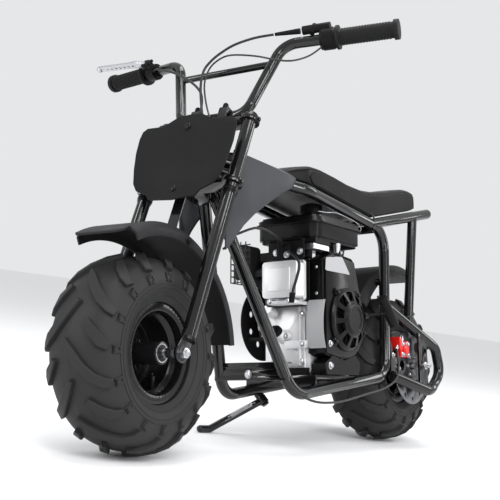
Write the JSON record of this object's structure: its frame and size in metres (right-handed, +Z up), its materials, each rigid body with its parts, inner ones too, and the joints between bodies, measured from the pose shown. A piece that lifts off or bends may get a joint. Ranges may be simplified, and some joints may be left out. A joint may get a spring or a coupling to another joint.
{
  "type": "kids dirt bike",
  "caption": "Small petrol off-road bike for a child, with fat knobbly tyres, a rigid tube frame, a number plate and a pull-start engine, parked on its side stand.",
  "frame": {"origin": "middle of the bounding box, on the floor under the parked bike", "axes": "+X forward along the bike, +Y to the rider's left, +Z up from the floor; the bike leans 10 degrees to the right on its side stand"},
  "size_m": [1.2675, 0.721, 0.8746],
  "materials": {
    "tube_black": "gloss",
    "rim_black": "gloss",
    "engine_black": "gloss",
    "exhaust_black": "matt",
    "cylinder_black": "satin",
    "cast_alloy": "as cast",
    "lever_alloy": "polished",
    "steel": "brushed",
    "disc_steel": "ground",
    "chain_steel": "oiled",
    "zinc_steel": "plated",
    "caliper_red": "anodised",
    "black_plastic": "matt",
    "fender_plastic": "matt",
    "cowl_plastic": "satin",
    "seat_vinyl": "grained vinyl",
    "tyre": "matt",
    "grip_rubber": "matt",
    "hose_rubber": "satin"
  },
  "bodies": {
    "frame": {"frame_loop_left": "tube_black", "frame_loop_right": "tube_black", "head_tube": "tube_black", "cross_members": "tube_black", "seat_frame": "tube_black", "rear_loop_left": "tube_black", "rear_loop_right": "tube_black", "engine_plate": "tube_black", "stand_bracket": "tube_black", "crankcase": "cast_alloy", "cylinder": "cylinder_black", "valve_cover": "cast_alloy", "fan_shroud": "engine_black", "recoil_cover": "engine_black", "recoil_handle": "black_plastic", "fuel_tank": "engine_black", "fuel_cap": "black_plastic", "intake": "black_plastic", "muffler": "exhaust_black", "muffler_guard": "exhaust_black", "clutch": "steel", "drive_chain": "chain_steel", "chain_guard": "black_plastic", "cowl": "cowl_plastic", "seat": "seat_vinyl", "rear_fender": "fender_plastic", "rear_axle": "zinc_steel", "brake_caliper": "caliper_red", "brake_hose": "hose_rubber", "throttle_cable": "hose_rubber"},
    "steering": {"fork": "tube_black", "handlebar": "tube_black", "bar_clamps": "tube_black", "number_plate": "fender_plastic", "front_fender": "fender_plastic", "front_axle": "zinc_steel", "grips": "grip_rubber", "throttle_housing": "black_plastic", "brake_lever": "lever_alloy", "bar_cables": "hose_rubber"},
    "front_wheel": {"front_tyre": "tyre", "front_rim": "rim_black"},
    "rear_wheel": {"rear_tyre": "tyre", "rear_rim": "rim_black", "brake_disc": "disc_steel", "rear_sprocket": "disc_steel"},
    "side_stand": {"side_stand": "tube_black", "stand_spring": "zinc_steel"}
  },
  "joints": [
    {"name": "steering_turn", "type": "hinge", "parent": "frame", "child": "steering", "pos_m": [0.27712, 0.05983, 0.48102], "axis": [-0.3939, -0.1596, 0.9052], "range_deg": [-33, 27]},
    {"name": "front_wheel_spin", "type": "hinge", "parent": "steering", "child": "front_wheel", "pos_m": [0.45605, 0.11561, 0.17764], "axis": [-0.0481, 0.987, 0.1531], "continuous": true},
    {"name": "rear_wheel_spin", "type": "hinge", "parent": "frame", "child": "rear_wheel", "pos_m": [-0.4559, 0.11339, 0.17727], "axis": [0, 0.9848, 0.1736], "continuous": true},
    {"name": "stand_fold", "type": "hinge", "parent": "frame", "child": "side_stand", "pos_m": [-0.0709, 0.04097, 0.08124], "axis": [-0.153, 0.7239, -0.6727], "range_deg": [0, 120]}
  ]
}
